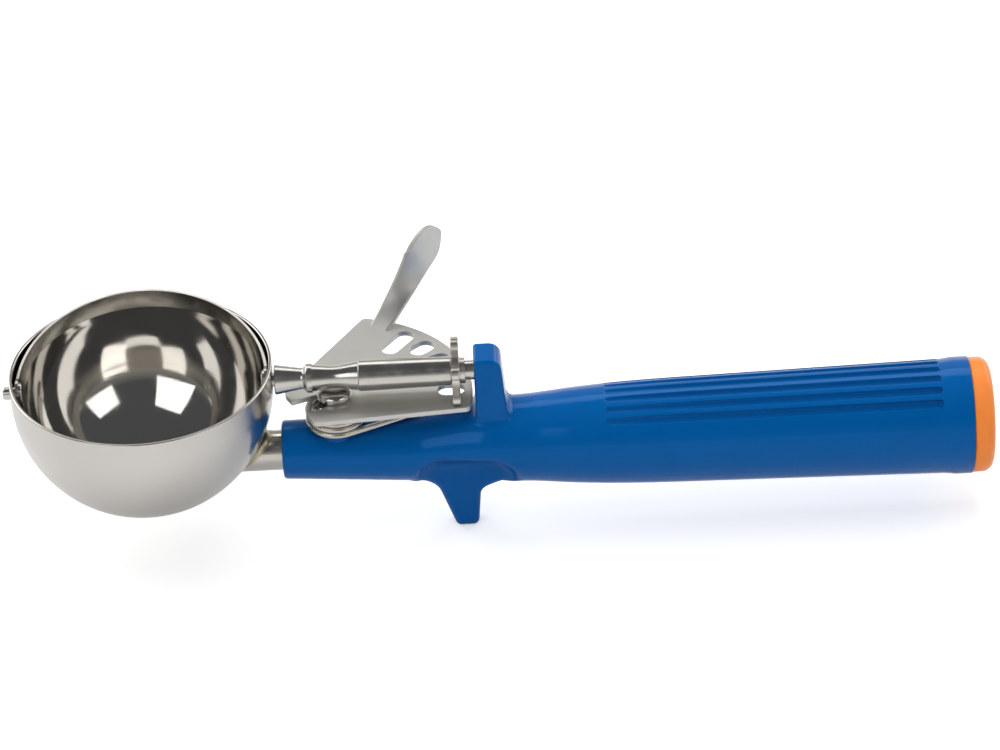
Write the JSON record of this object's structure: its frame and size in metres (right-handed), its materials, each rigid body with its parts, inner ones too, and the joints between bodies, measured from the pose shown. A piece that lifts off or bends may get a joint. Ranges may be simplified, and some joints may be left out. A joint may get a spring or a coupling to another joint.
{
  "type": "lever ice cream scoop",
  "caption": "Lever ice cream scoop: steel bowl with a sweeping scraper blade, worked through a star pinion by a sprung thumb lever on a grooved plastic handle.",
  "frame": {"origin": "centre of the flat end of the butt cap, on the handle's axis", "axes": "+X runs along the handle from the bowl to the butt and out of the butt cap's flat end, +Z points out of the bowl's mouth, +Y is the side that the thumb lever stands on"},
  "size_m": [0.2216, 0.0734, 0.0542],
  "materials": {
    "blue_plastic": "glossy",
    "orange_plastic": "glossy",
    "stem_steel": "polished",
    "bowl_steel": "polished inside, satin outside",
    "braze": "satin",
    "turned_steel": "polished",
    "spring_steel": "bright drawn",
    "lever_steel": "satin",
    "pinion_steel": "satin",
    "blade_steel": "polished"
  },
  "bodies": {
    "handle": {"handle_body": "blue_plastic", "butt_cap": "orange_plastic", "stem": "stem_steel", "bowl": "bowl_steel", "braze_bead": "braze", "pivot_post": "turned_steel", "pivot_spacer": "turned_steel", "lever_spring": "spring_steel"},
    "lever": {"thumb_lever": "lever_steel"},
    "spindle": {"spindle": "turned_steel", "pinion": "pinion_steel", "scraper_blade": "blade_steel", "blade_pin": "turned_steel"}
  },
  "joints": [
    {"name": "lever_swing", "type": "hinge", "parent": "handle", "child": "lever", "pos_m": [-0.1476, 0, 0.0135], "axis": [0, 0, 1], "range_deg": [-44.2, 0], "stiffness_Nm_per_rad": 0.35, "springref_deg": 28.65, "deforming": ["lever_spring"]},
    {"name": "spindle_spin", "type": "hinge", "parent": "handle", "child": "spindle", "pos_m": [-0.1404, 0, 0.0193], "axis": [1, 0, 0], "range_deg": [-198.5, 0]}
  ],
  "couplings": [
    {"joint": "spindle_spin", "follows": "lever_swing", "ratio": 4.4776}
  ]
}
